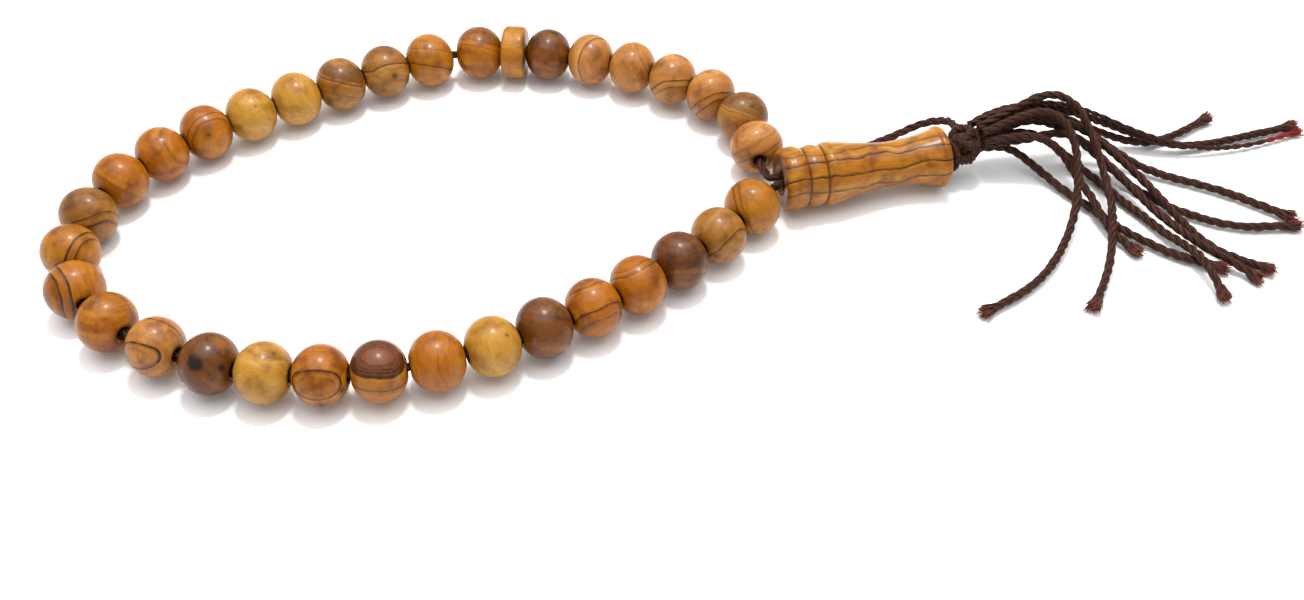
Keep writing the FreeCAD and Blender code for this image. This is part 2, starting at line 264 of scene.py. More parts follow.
class WoodTextures:
    """Noise that follows the wood: fine fibres, soft growth bands, mottle and short dark flecks."""

    def __init__(self, tree, at, seed):
        run, layer, side = at.run, at.layer, at.side
        # long along the grain, narrow across it
        fine_place = combine(tree, calc(tree, "MULTIPLY_ADD", run, 1.4, seed),
                             calc(tree, "MULTIPLY", layer, 17.0), calc(tree, "MULTIPLY", side, 8.0))
        self.fine = grain(tree, fine_place, 1.0, 4.0, 0.62)
        soft_place = combine(tree, seed * 3.1, calc(tree, "MULTIPLY", layer, 2.6),
                             calc(tree, "MULTIPLY", run, 0.35))
        self.soft = grain(tree, soft_place, 1.0, 2.5, 0.55)
        self.mottle = grain(tree, at.shifted, 1.5, 3.0, 0.6)
        fleck_place = combine(tree, calc(tree, "MULTIPLY", run, 4.5), calc(tree, "MULTIPLY", layer, 30.0),
                              calc(tree, "MULTIPLY", side, 26.0))
        self.flecks = fade(tree, grain(tree, fleck_place, 1.0, 1.0, 0.5), 0.66, 0.76, 0.0, 0.5)


def wood_ground(tree, tone, textures, streak):
    """The wood's colour between its dark lines."""
    pale, main, deep = TONES[tone]
    colour = blend_colour(tree, fade(tree, textures.soft, 0.40, 0.70, 0.0, 0.75), main, pale)
    colour = blend_colour(tree, fade(tree, textures.mottle, 0.42, 0.74, 0.0, 0.9), colour, deep)
    colour = blend_colour(tree, fade(tree, textures.fine, 0.34, 0.62, 0.30 * streak, 0.0), colour, deep)
    return blend_colour(tree, textures.flecks, colour, HEARTWOOD)


def wood_line_mask(tree, at, lines, bands):
    """Where the dark growth lines and bands are, broken up a little along their length."""
    scaled = calc(tree, "MULTIPLY_ADD", at.layer, 0.5, 0.5)
    mask = ramp(tree, scaled, line_stops(lines, bands))
    broken = fade(tree, grain(tree, at.shifted, 2.6, 2.0, 0.6), 0.30, 0.50, 0.7, 1.0)
    return calc(tree, "MULTIPLY", mask, broken)


def wood_knot(tree, colour, place, mottle, direction, size, strength):
    """A knot in the wood: a black heart with a brown halo of uneven outline."""
    spot = direction.normalized() * 0.98
    away = node(tree, "ShaderNodeVectorMath", [(0, place), (1, tuple(spot))], "Value", operation="DISTANCE")
    away = calc(tree, "MULTIPLY_ADD", calc(tree, "SUBTRACT", mottle, 0.5), size * 1.1, away)
    halo = fade(tree, away, size, size * 2.6, strength * 0.55, 0.0)
    colour = blend_colour(tree, halo, colour, HEARTWOOD)
    heart = fade(tree, away, size * 0.45, size * 1.1, strength, 0.0)
    return blend_colour(tree, heart, colour, KNOT_BLACK)


def olive_wood(name, centre, tone, layers, rim, seed, fibre=None, lines=(), bands=(), curl=0.0, wander=0.16,
               knots=(), cap=None, grooves=(), streak=1.0):
    """Oiled and polished olive wood. layers is the direction the growth layers follow one another in, and
    rim the bore's axis and the place of its rims on it."""
    material, tree = new_material(name)
    at = WoodPlaces(tree, centre, layers, fibre, wander, curl, seed)
    textures = WoodTextures(tree, at, seed)
    colour = wood_ground(tree, tone, textures, streak)
    rough = calc(tree, "MULTIPLY_ADD", textures.fine, 0.12, WOOD_ROUGHNESS)
    if cap is not None:
        # heartwood, reached where the bead was turned from the middle of the branch
        colour = blend_colour(tree, fade(tree, at.layer, cap - 0.02, cap + 0.03, 0.0, 0.9), colour, CAP)
    if lines or bands:
        mask = wood_line_mask(tree, at, lines, bands)
        vein = blend_colour(tree, fade(tree, textures.fine, 0.35, 0.65), LINE, HEARTWOOD)
        colour = blend_colour(tree, mask, colour, vein)
        rough = calc(tree, "MULTIPLY_ADD", mask, 0.05, rough)
    for knot in knots:
        colour = wood_knot(tree, colour, at.place, textures.mottle, *knot)
    for groove in grooves:
        # wax and dirt settle in a turned groove
        gap = calc(tree, "ABSOLUTE", calc(tree, "SUBTRACT", at.run, groove))
        colour = blend_colour(tree, fade(tree, gap, 0.015, 0.075, 0.75, 0.0), colour, HEARTWOOD)
    # handling darkens the rims of the bore
    axis, rim_place = rim
    end = calc(tree, "ABSOLUTE", dot(tree, at.place, axis))
    colour = blend_colour(tree, fade(tree, end, rim_place - 0.03, rim_place, 0.0, 0.6), colour, HEARTWOOD)
    height = calc(tree, "MULTIPLY", textures.flecks, -1.6)
    height = calc(tree, "ADD", calc(tree, "MULTIPLY", textures.fine, 0.7), height)
    bump = node(tree, "ShaderNodeBump", [("Strength", 0.16), ("Distance", 0.00006), ("Height", height)])
    shader = node(tree, "ShaderNodeBsdfPrincipled",
                  [("Base Color", colour), ("Roughness", rough), ("Normal", bump), ("Coat Weight", 0.16),
                   ("Coat Roughness", 0.16), ("Specular IOR Level", 0.22)])
    finish_material(tree, shader)
    return material


def seen(right, up, toward):
    """A direction given as the camera sees it."""
    return RIGHT * right + UPWARD * up + TOWARD * toward


# One entry per bead: tone, direction of the growth layers, dark lines (place, width, strength),
# dark bands (from, to, strength), how far the layers wander and curl, knots (direction, size, strength)
# and the layer where a cap of heartwood begins. Places are in wood units from the bead's middle.
BEADS = {
    1: dict(tone="amber", layers=seen(1, 0.35, 0.1), lines=[(-0.42, 0.03, 0.9), (-0.18, 0.02, 0.7)],
            curl=0.15),
    2: dict(tone="tan", layers=seen(0.55, -0.8, 0.1), lines=[(0.36, 0.03, 0.9)], curl=-0.2,
            knots=[(seen(-0.1, -0.7, 0.6), 0.1, 0.6)]),
    3: dict(tone="brown", layers=seen(0.1, 1, 0.3), lines=[(-0.3, 0.03, 0.7)], bands=[(-0.05, 1, 0.5)],
            wander=0.22),
    4: dict(tone="orange", layers=seen(-0.35, 0.9, 0.1), lines=[(0.5, 0.03, 0.7), (0.66, 0.02, 0.5)]),
    5: dict(tone="orange", layers=seen(0.4, -0.9, 0.2),
            lines=[(-0.55, 0.025, 0.8), (0.32, 0.03, 0.9), (0.62, 0.03, 0.6)]),
    6: dict(tone="brown", layers=seen(0.2, 1, 0), bands=[(0.35, 1, 0.3)], wander=0.22),
    7: dict(tone="yellow", layers=seen(1, 0.1, 0.3), wander=0.3, knots=[(seen(0.5, 0.35, 0.7), 0.05, 0.7)]),
    8: dict(tone="orange", layers=seen(1, 0.15, 0.2), lines=[(0.3, 0.02, 0.3)], wander=0.25),
    9: dict(tone="amber", layers=seen(0.07, 0.52, 0.85), fibre=seen(0, 0.85, -0.52), curl=0.4, cap=0.77,
            lines=[(0.795, 0.05, 1.0), (0.87, 0.03, 0.95), (0.925, 0.02, 0.95), (0.40, 0.025, 0.85)],
            bands=[(0.96, 0.985, 0.95)], wander=0.06),
    10: dict(tone="orange", layers=seen(0, -0.33, 0.94), fibre=seen(0, 0.94, 0.33), curl=0.5,
             lines=[(0.89, 0.022, 1.0), (0.965, 0.012, 0.6)],
             knots=[(seen(0.1, -0.95, 0.35), 0.14, 0.85), (seen(0.8, -0.5, 0.4), 0.1, 0.7)], wander=0.06),
    11: dict(tone="yellow", layers=seen(0.3, 1, 0.1), wander=0.3, bands=[(0.60, 0.70, 0.35)],
             knots=[(seen(0.45, 0.6, 0.6), 0.12, 0.5), (seen(-0.2, 0.7, 0.6), 0.06, 0.3)]),
    12: dict(tone="brown", layers=seen(0.8, 0.7, 0.1), lines=[(0.66, 0.03, 0.6)],
             knots=[(seen(-0.14, 0.08, 0.97), 0.32, 1.0), (seen(0.62, -0.1, 0.75), 0.12, 0.9),
                    (seen(0.7, -0.4, 0.5), 0.2, 0.4)]),
    13: dict(tone="rose", layers=seen(-0.33, -0.30, 0.89), fibre=seen(0.05, 0.94, 0.33), curl=0.42,
             lines=[(0.90, 0.022, 1.0), (0.97, 0.012, 0.5), (0.08, 0.03, 0.95)], wander=0.06),
    14: dict(tone="orange", layers=seen(0.1, 1, 0.1), lines=[(-0.62, 0.03, 0.4)], bands=[(0.45, 1, 0.22)],
             wander=0.3),
    15: dict(tone="orange", layers=seen(-0.9, -0.35, 0.25), lines=[(0.26, 0.05, 0.97), (0.56, 0.06, 0.95)],
             bands=[(0.62, 1, 0.5)], curl=0.2, wander=0.1),
    16: dict(tone="amber", layers=seen(0.9, -0.35, 0.2), wander=0.1,
             lines=[(0.46, 0.05, 0.95), (0.68, 0.03, 0.8), (-0.72, 0.04, 0.9)]),
    17: dict(tone="tan", layers=seen(0.35, -0.8, 0.2), lines=[(0.4, 0.03, 0.8), (0.66, 0.05, 0.8)],
             bands=[(-1, -0.05, 0.4)], knots=[(seen(-0.3, 0.3, 0.9), 0.3, 0.3)]),
    18: dict(tone="orange", layers=seen(0.6, 0.8, 0.1), lines=[(-0.1, 0.02, 0.5)]),
    19: dict(tone="orange", layers=seen(1, 0.5, 0.2), lines=[(0.66, 0.03, 0.5)], wander=0.25),
    20: dict(tone="orange", layers=seen(0.6, -0.5, 0.5), lines=[(0.3, 0.03, 0.8), (0.55, 0.03, 0.7)],
             knots=[(seen(0.35, -0.2, 0.88), 0.12, 0.6)]),
    21: dict(tone="yellow", layers=seen(0.2, 1, 0.3), wander=0.3, knots=[(seen(0.4, 0.2, 0.88), 0.05, 0.5)]),
    22: dict(tone="yellow", layers=seen(1, 0.4, 0.1), lines=[(0.5, 0.02, 0.3)], wander=0.25),
    23: dict(tone="tan", layers=seen(0.25, 0.85, 0.35), lines=[(0.3, 0.03, 0.8), (-0.2, 0.02, 0.5)],
             bands=[(0.42, 0.8, 0.55)]),
    24: dict(tone="tan", layers=seen(-0.15, 0.97, 0.2), lines=[(0.12, 0.035, 0.9)], bands=[(0.2, 1, 0.32)],
             knots=[(seen(0.5, -0.3, 0.8), 0.12, 0.6)], curl=-0.1),
    25: dict(tone="amber", layers=seen(0.1, 1, 0.1), lines=[(-0.25, 0.03, 0.9), (0.35, 0.02, 0.5)]),
    26: dict(tone="orange", layers=seen(0.2, 1, 0.1), lines=[(0.1, 0.02, 0.5)], bands=[(0.3, 1, 0.5)],
             wander=0.25),
    27: dict(tone="brown", layers=seen(0.3, 1, 0.2), lines=[(-0.4, 0.03, 0.6)], bands=[(0.3, 1, 0.35)],
             wander=0.22),
    28: dict(tone="rose", layers=seen(0.8, -0.4, 0.4), lines=[(0.25, 0.03, 0.85), (-0.45, 0.02, 0.5)],
             curl=0.2),
    29: dict(tone="rose", layers=seen(0.9, 0.4, 0.1), lines=[(0.5, 0.02, 0.5)]),
    30: dict(tone="rose", layers=seen(0.1, -0.98, 0.15), lines=[(0.28, 0.03, 0.95), (0.52, 0.02, 0.7)],
             curl=-0.12),
    31: dict(tone="rose", layers=seen(0.3, -0.95, 0.2),
             lines=[(0.35, 0.03, 0.9), (0.6, 0.03, 0.8), (0.0, 0.02, 0.3)]),
    32: dict(tone="tan", layers=seen(0.35, 0.9, 0.2), lines=[(0.12, 0.02, 0.5)], bands=[(0.22, 1, 0.5)],
             knots=[(seen(0.3, 0.3, 0.9), 0.06, 0.6)]),
    33: dict(tone="rose", layers=seen(-0.5, 0.8, 0.3), lines=[(-0.1, 0.03, 0.6), (0.3, 0.02, 0.5)]),
}


# How far the rims of a bore lie from the piece's middle, in wood units. Beads 27 to 33 are smaller.
BEAD_RIM = 0.885
SMALL_BEAD_RIM = 0.837
FIRST_SMALL_BEAD = 27
DISC_RIM = 0.46
IMAME_RIM = 3.19
IMAME_GROOVES = (-2.34, -1.66)   # along its axis


def centre_of(name):
    low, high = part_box(name)
    return (low + high) / 2


def give(name, material):
    """Put a material on a CAD node in place of its own."""
    slots = nodes[name].data.materials
    slots.clear()
    slots.append(material)


def dress_beads():
    """Each bead has its own look; its noise is moved by its number."""
    for number, look in BEADS.items():
        name = "bead_%02d" % number
        axis = Vector(joints[name + "_spin"]["axis"])
        rim = axis, SMALL_BEAD_RIM if number >= FIRST_SMALL_BEAD else BEAD_RIM
        give(name, olive_wood("wood_%02d" % number, centre_of(name), rim=rim, seed=number * 2.37, **look))


def dress_disc():
    axis = Vector(joints["marker_disc_spin"]["axis"])
    give("marker_disc", olive_wood("wood_disc", centre_of("marker_disc"), "amber", seen(0.2, 1, 0.3),
                                   (axis, DISC_RIM), 71.3, lines=[(0.3, 0.02, 0.4)]))


def dress_imame():
    """Long grain: the dark lines run from the mouth to the flared end."""
    across = seen(-0.1, 1, -0.1)
    across = (across - IMAME_AXIS * across.dot(IMAME_AXIS)).normalized()
    veins = [(0.30, 0.045, 1.0), (0.62, 0.022, 0.75), (-0.26, 0.035, 0.95), (-0.74, 0.03, 0.8)]
    give("imame", olive_wood("wood_imame", IMAME_MIDDLE, "amber", across, (IMAME_AXIS, IMAME_RIM), 9.4,
                             fibre=IMAME_AXIS, lines=veins, grooves=IMAME_GROOVES, wander=0.24, curl=0.05,
                             streak=1.4))


# ---------------------------------------------------------------- twisted cord
def cord_material(name, dark, light, tip, tip_share=1.0):
    """Fine nylon fibres laid along each ply, in the tip's colour where the cut end opens."""
    material, tree = new_material(name)
    uv = node(tree, "ShaderNodeUVMap", uv_map="UVMap")
    parts = tree.nodes.new("ShaderNodeSeparateXYZ")
    tree.links.new(uv, parts.inputs[0])
    length, turn = parts.outputs[0], parts.outputs[1]
    lay = calc(tree, "MULTIPLY_ADD", length, 0.10, turn)
    fibre_place = combine(tree, calc(tree, "MULTIPLY", length, 1.1), calc(tree, "MULTIPLY", lay, 15.0), 0.0)
    fibres = grain(tree, fibre_place, 1.0, 3.0, 0.6)
    patches = grain(tree, combine(tree, calc(tree, "MULTIPLY", length, 0.25), turn, 0.0), 1.0, 2.0, 0.5)
    colour = blend_colour(tree, fade(tree, fibres, 0.32, 0.70), dark, light)
    colour = blend_colour(tree, fade(tree, patches, 0.35, 0.7, 0.0, 0.35), colour, dark)
    open_end = node(tree, "ShaderNodeAttribute", output="Fac", attribute_name="open_end")
    open_end = calc(tree, "MULTIPLY", open_end, tip_share)
    colour = blend_colour(tree, open_end, colour, tip)
    bump = node(tree, "ShaderNodeBump", [("Strength", 0.6), ("Distance", 0.0001), ("Height", fibres)])
    rough = fade(tree, fibres, 0.3, 0.7, 0.62, 0.46)
    shader = node(tree, "ShaderNodeBsdfPrincipled",
                  [("Base Color", colour), ("Roughness", rough), ("Normal", bump),
                   ("Specular IOR Level", 0.16)])
    finish_material(tree, shader)
    return material


CORD_DARK = shade(26, 12, 7)
CORD_LIGHT = shade(80, 43, 28)
CORD = cord_material("cord_brown", CORD_DARK, CORD_LIGHT, shade(92, 48, 36), 0.35)
CORD_RED = cord_material("cord_red_end", CORD_DARK, CORD_LIGHT, shade(122, 24, 32))
FRAY = cord_material("cord_fray", shade(46, 25, 20), shade(92, 56, 44), shade(156, 84, 64), 0.7)
FRAY_RED = cord_material("cord_fray_red", shade(98, 22, 28), shade(136, 42, 42), shade(180, 86, 64))


def nurbs_points(name, route):
    """Points along a route's NURBS line."""
    curve = bpy.data.curves.new(name + "_line", "CURVE")
    curve.dimensions = "3D"
    curve.resolution_u = 24
    spline = curve.splines.new("NURBS")
    spline.points.add(len(route) - 1)
    for point, place in zip(spline.points, route):
        point.co = (*place, 1)
    spline.order_u = 3
    spline.use_endpoint_u = True
    holder = bpy.data.objects.new(name + "_line", curve)
    mesh = bpy.data.meshes.new_from_object(holder)
    points = [vertex.co.copy() for vertex in mesh.vertices]
    bpy.data.meshes.remove(mesh)
    bpy.data.objects.remove(holder)
    bpy.data.curves.remove(curve)
    return points


def even(points, step):
    """The same line with its points a step apart."""
    spans = [(b - a).length for a, b in zip(points, points[1:])]
    total = sum(spans)
    count = max(2, round(total / step))
    result = []
    index = 0
    passed = 0.0
    for number in range(count + 1):
        distance = total * number / count
        while index < len(spans) - 1 and passed + spans[index] < distance:
            passed += spans[index]
            index += 1
        share = 0.0 if spans[index] == 0 else (distance - passed) / spans[index]
        result.append(points[index].lerp(points[index + 1], min(1.0, share)))
    return result


def frames(points):
    """Tangent and two side directions at each point, without sudden turns."""
    tangents = []
    for index in range(len(points)):
        before = points[max(0, index - 1)]
        after = points[min(len(points) - 1, index + 1)]
        tangents.append((after - before).normalized())
    side = tangents[0].orthogonal().normalized()
    result = []
    for tangent in tangents:
        side = (side - tangent * side.dot(tangent)).normalized()
        result.append((tangent, side, tangent.cross(side)))
    return result


class Builder:
    """Collects rings of vertices into one mesh with a UV map and an open_end attribute."""

    def __init__(self):
        self.points = []
        self.faces = []
        self.uvs = []
        self.open_end = []

    def tube(self, line, radii, sides, openness, phase=0.0):
        """A tube round a line, closed at both ends; u is its length in mm and v its turn."""
        first = len(self.points)
        length = 0.0
        for index, (place, (_, side, up)) in enumerate(zip(line, frames(line))):
            if index:
                length += (place - line[index - 1]).length
            for step in range(sides):
                angle = 2 * math.pi * step / sides
                out = side * math.cos(angle) + up * math.sin(angle)
                self.points.append(place + out * radii[index])
                self.uvs.append((length / MM + phase, step / sides))
                self.open_end.append(openness[index])
        rings = len(line)
        for ring in range(rings - 1):
            for step in range(sides):
                a = first + ring * sides + step
                b = first + ring * sides + (step + 1) % sides
                self.faces.append((a, b, b + sides, a + sides))
        self.faces.append(tuple(first + step for step in reversed(range(sides))))
        last = first + (rings - 1) * sides
        self.faces.append(tuple(last + step for step in range(sides)))

    def make(self, name, material):
        mesh = bpy.data.meshes.new(name)
        mesh.from_pydata([tuple(point) for point in self.points], [], self.faces)
        layer = mesh.uv_layers.new(name="UVMap")
        for polygon in mesh.polygons:
            polygon.use_smooth = True
            corners = [self.uvs[mesh.loops[loop].vertex_index] for loop in polygon.loop_indices]
            wraps = max(corner[1] for corner in corners) - min(corner[1] for corner in corners) > 0.5
            for loop, (u, v) in zip(polygon.loop_indices, corners):
                layer.data[loop].uv = (u, v + 1 if wraps and v < 0.5 and len(corners) == 4 else v)
        attribute = mesh.attributes.new("open_end", "FLOAT", "POINT")
        attribute.data.foreach_set("value", self.open_end)
        mesh.materials.append(material)
        mesh.validate()
        made = bpy.data.objects.new(name, mesh)
        bpy.context.scene.collection.objects.link(made)
        return made


STEP = 0.3 * MM                  # between the rings of a cord
PLY_PRESSED = 1.17               # the plies press into one another, so each is wider than a free one
PLY_SIDES = 8
PITCH_WANDER = 0.38              # how much the lay and the thickness vary along a cord, and how often
THICKNESS_WANDER = 0.16
PITCH_CHANGES = 0.16
THICKNESS_CHANGES = 0.40
FLARE_LENGTH = 3 * MM            # how far back from its cut end a cord opens


def twist(builder, line, diameter, pitch, plies=3, seed=0.0, flare=0.0, red_length=0.0, start_turn=0.0):
    """Plies laid up into one cord along an evenly spaced line; flare opens its far end, and red_length is
    how much of that end is red."""
    around = frames(line)
    radius = diameter / 2
    ply = radius / (1 + 1 / math.sin(math.pi / plies)) * PLY_PRESSED
    lay = radius - ply
    lengths = [0.0]
    for a, b in zip(line, line[1:]):
        lengths.append(lengths[-1] + (b - a).length)
    total = lengths[-1]
    for number in range(plies):
        path = []
        radii = []
        openness = []
        turn = start_turn + 2 * math.pi * number / plies
        for index, place in enumerate(line):
            side, up = around[index][1:]
            along = lengths[index] / MM
            to_end = total - lengths[index]
            if index:
                local = pitch * (1 + PITCH_WANDER * noise.noise(Vector((along * PITCH_CHANGES, seed, 3.1))))
                turn += 2 * math.pi * (lengths[index] - lengths[index - 1]) / local
            uneven = noise.noise(Vector((along * THICKNESS_CHANGES, seed * 1.3, number * 7.7)))
            swell = 1 + THICKNESS_WANDER * uneven
            near_end = max(0.0, 1 - to_end / FLARE_LENGTH) if flare else 0.0
            open_by = near_end * near_end * (3 - 2 * near_end)
            offset = lay * (1 + flare * open_by) * swell
            thick = ply * swell * (1 + 0.35 * flare * open_by)
            spot = place + (side * math.cos(turn) + up * math.sin(turn)) * offset
            spot.z = max(spot.z, thick)
            path.append(spot)
            radii.append(thick)
            if red_length:
                openness.append(min(1.0, max(0.0, (red_length - to_end) / (2 * MM))))
            else:
                openness.append(near_end)
        builder.tube(path, radii, PLY_SIDES, openness, phase=seed * 13 + number * 5)


# The fibres of a frayed end, in mm. Some are strays: thin ones that reach further and bend away.
FIBRE_ROOT = (1.6, 2.6)          # how far inside the end a fibre starts
FIBRE_LENGTH = (1.7, 2.7)
FIBRE_THICK = (0.07, 0.12)
FIBRE_REACH = 0.2                # what is added to the length at most
FIBRE_BEND = 0.2
STRAY_SHARE = 0.12
STRAY_THICK = (0.03, 0.05)
STRAY_REACH = 1.7
STRAY_BEND = 0.8
FIBRE_STEPS = 6
FIBRE_SIDES = 5


def fray_end(builder, line, radius, count, spread, seed):
    """Loose fibres that stand out of a cord's cut end."""
    chance = random.Random(seed)
    tangent, side, up = frames(line)[-1]
    end = line[-1]
    shares = [step / FIBRE_STEPS for step in range(FIBRE_STEPS + 1)]
    for _ in range(count):
        angle = chance.uniform(0, 2 * math.pi)
        out = math.sqrt(chance.random())
        away = side * math.cos(angle) + up * math.sin(angle)
        start = end - tangent * chance.uniform(*FIBRE_ROOT) * MM + away * radius * out * 0.8
        lean = (tangent + away * spread * out * chance.uniform(0.2, 1.2)).normalized()
        curl = side * chance.uniform(-1, 1) + up * chance.uniform(-1, 1)
        stray = chance.random() < STRAY_SHARE
        reach, bend = (STRAY_REACH, STRAY_BEND) if stray else (FIBRE_REACH, FIBRE_BEND)
        length = (chance.uniform(*FIBRE_LENGTH) + reach * chance.random()) * MM
        path = []
        for share in shares:
            spot = start + lean * length * share + curl * (bend * MM * share * share)
            spot.z = max(spot.z, 0.09 * MM)
            path.append(spot)
        thick = chance.uniform(*(STRAY_THICK if stray else FIBRE_THICK)) * MM
        radii = [thick * (1 - 0.35 * share) for share in shares]
        openness = [min(1.0, max(0.0, share - 0.35) * 1.5 * chance.uniform(0.6, 1.0)) for share in shares]
        builder.tube(path, radii, FIBRE_SIDES, openness, phase=chance.uniform(0, 50))


# ---------------------------------------------------------------- tassel
# Routes of the strands from the knot to the frayed end.
STRANDS = [
    # 01 leaves over the top and falls to the front left
    [(0.0827, 0.0128, 0.0095), (0.0865, 0.0138, 0.0111), (0.0903, 0.0147, 0.0123),
     (0.0941, 0.0154, 0.0126), (0.0975, 0.0141, 0.0113), (0.0992, 0.0107, 0.009),
     (0.0994, 0.0064, 0.0064), (0.0988, 0.0014, 0.0039), (0.0969, -0.0043, 0.002),
     (0.0939, -0.0103, 0.001), (0.0897, -0.0161, 0.0008), (0.0843, -0.0208, 0.0008),
     (0.0783, -0.0242, 0.0008)],
    # 02 makes the high outer bow and falls to the front
    [(0.082, 0.0145, 0.0093), (0.0859, 0.0157, 0.0111), (0.0899, 0.017, 0.0128),
     (0.0937, 0.0184, 0.0139), (0.0975, 0.0184, 0.0137), (0.1005, 0.0164, 0.0121),
     (0.1024, 0.0131, 0.0096), (0.1038, 0.0095, 0.0067), (0.1047, 0.0045, 0.0043),
     (0.1046, -0.002, 0.0035), (0.1031, -0.0094, 0.0022), (0.1009, -0.0164, 0.001),
     (0.0972, -0.0231, 0.0008)],
    # 03 is the short one
    [(0.0831, 0.0123, 0.0079), (0.0873, 0.0123, 0.0089), (0.0913, 0.0123, 0.0094),
     (0.095, 0.0115, 0.0083), (0.0977, 0.0107, 0.0058), (0.0995, 0.0087, 0.0038),
     (0.1009, 0.0057, 0.0027), (0.1021, 0.0015, 0.0028), (0.1033, -0.003, 0.0017),
     (0.1054, -0.0066, 0.0008), (0.108, -0.0096, 0.0008)],
    # 04
    [(0.0822, 0.0157, 0.0049), (0.0866, 0.0165, 0.0059), (0.0912, 0.0168, 0.0065),
     (0.0953, 0.0163, 0.0053), (0.0989, 0.0143, 0.0032), (0.1023, 0.0117, 0.0015),
     (0.1057, 0.0077, 0.0008), (0.1087, 0.003, 0.0008), (0.1117, -0.0015, 0.0008),
     (0.1144, -0.0061, 0.0012), (0.1169, -0.0106, 0.0025), (0.1189, -0.0155, 0.0026),
     (0.1202, -0.0209, 0.0008)],
    # 05 drops out of the bundle first and lies under the others
    [(0.0828, 0.0139, 0.0049), (0.0867, 0.0148, 0.0048), (0.0903, 0.0143, 0.0034),
     (0.0937, 0.0118, 0.0018), (0.0969, 0.0081, 0.0009), (0.1001, 0.0041, 0.0008),
     (0.1032, 0.0002, 0.0008), (0.1064, -0.0038, 0.0008), (0.1099, -0.0069, 0.0008),
     (0.1136, -0.0099, 0.0008), (0.1178, -0.0118, 0.0008), (0.1221, -0.0136, 0.0008)],
    # 06
    [(0.0833, 0.0132, 0.0064), (0.0874, 0.0134, 0.0067), (0.0915, 0.0133, 0.0076),
     (0.0957, 0.0141, 0.0085), (0.1008, 0.0145, 0.0071), (0.1049, 0.0122, 0.0045),
     (0.1086, 0.0077, 0.0028), (0.1121, 0.001, 0.0022), (0.1154, -0.0059, 0.0029),
     (0.1193, -0.0105, 0.0026), (0.1237, -0.0127, 0.0015), (0.1276, -0.0162, 0.0008)],
    # 07
    [(0.0829, 0.014, 0.008), (0.0867, 0.015, 0.0097), (0.0909, 0.0157, 0.0107),
     (0.0955, 0.0158, 0.0105), (0.1017, 0.0155, 0.0083), (0.1061, 0.0136, 0.0055),
     (0.1105, 0.0102, 0.0033), (0.1143, 0.0032, 0.0025), (0.1177, -0.0033, 0.0013),
     (0.1211, -0.0084, 0.0008), (0.1254, -0.0117, 0.0008), (0.1304, -0.014, 0.0008)],
    # 08
    [(0.0828, 0.0149, 0.0065), (0.0869, 0.0159, 0.0078), (0.0911, 0.0169, 0.0091),
     (0.0958, 0.0167, 0.0088), (0.1016, 0.0156, 0.0055), (0.1063, 0.0125, 0.0025),
     (0.1105, 0.0079, 0.0008), (0.1149, 0.0032, 0.0008), (0.1197, 0, 0.0008), (0.1252, -0.0025, 0.0008),
     (0.1316, -0.0033, 0.0008), (0.1384, -0.0026, 0.0008)],
    # 09
    [(0.0822, 0.0155, 0.008), (0.0862, 0.0169, 0.0093), (0.0907, 0.0175, 0.0107),
     (0.0956, 0.0175, 0.0105), (0.102, 0.0172, 0.0076), (0.1073, 0.0156, 0.0038),
     (0.1123, 0.0131, 0.0016), (0.1176, 0.0107, 0.0008), (0.1231, 0.0085, 0.0008),
     (0.1285, 0.0058, 0.0008), (0.1332, 0.0026, 0.0008), (0.1379, -0.0007, 0.0008)],
    # 10
    [(0.0818, 0.0163, 0.0064), (0.0864, 0.0182, 0.0077), (0.091, 0.0185, 0.0087),
     (0.0957, 0.0188, 0.0085), (0.1018, 0.0198, 0.0061), (0.1069, 0.0204, 0.0033),
     (0.1118, 0.0202, 0.0014), (0.1164, 0.0202, 0.0008), (0.1207, 0.0216, 0.0008),
     (0.1253, 0.0243, 0.0008), (0.13, 0.0277, 0.0008)],
    # 11
    [(0.0808, 0.0167, 0.0079), (0.0854, 0.0188, 0.0098), (0.0904, 0.0193, 0.0104),
     (0.0955, 0.0197, 0.0102), (0.1017, 0.0203, 0.0079), (0.107, 0.021, 0.0053),
     (0.112, 0.0205, 0.0034), (0.1169, 0.0193, 0.0023), (0.1224, 0.0188, 0.0011),
     (0.1291, 0.0201, 0.0008), (0.1371, 0.0226, 0.0008), (0.146, 0.0253, 0.0008)],
    # 12 is the thin ply
    [(0.0809, 0.0158, 0.0093), (0.0856, 0.0173, 0.0106), (0.0903, 0.0185, 0.0116),
     (0.0952, 0.0191, 0.0117), (0.1016, 0.0201, 0.0095), (0.1068, 0.0206, 0.0069),
     (0.1117, 0.0199, 0.0048), (0.117, 0.0184, 0.0035), (0.1238, 0.0177, 0.0018),
     (0.131, 0.0185, 0.0008), (0.139, 0.0206, 0.0006), (0.147, 0.024, 0.0006)],
    # 13 turns back and lies behind the imame
    [(0.0786, 0.0167, 0.0074), (0.0784, 0.019, 0.0067), (0.0773, 0.0212, 0.0055),
     (0.0754, 0.0227, 0.0041), (0.073, 0.0233, 0.0027), (0.0705, 0.023, 0.0015), (0.068, 0.022, 0.0009),
     (0.0648, 0.0202, 0.0008), (0.0615, 0.0184, 0.0008), (0.058, 0.017, 0.0008), (0.0543, 0.0162, 0.0008)],
]
# How long each strand is, in the order of the routes.
LENGTHS = [0.065, 0.0645, 0.040, 0.0605, 0.051, 0.0605, 0.0635, 0.0645, 0.063, 0.0525, 0.0685, 0.07, 0.031]
CORD_WIDTH = 1.6 * MM
THIN_WIDTH = 1.0 * MM
THIN_STRAND = 12
STRAND_UNDER_POUCH = 13          # rests beside the imame, so it stays with the knot when the tassel swings
RED_LENGTH = 9 * MM              # of the thin ply's end
PITCH = 6.2 * MM                 # one turn of the lay
THIN_PITCH = PITCH * 0.7
FRAY_WIDTH = 0.62                # the radius of a frayed end, as a share of the cord's diameter


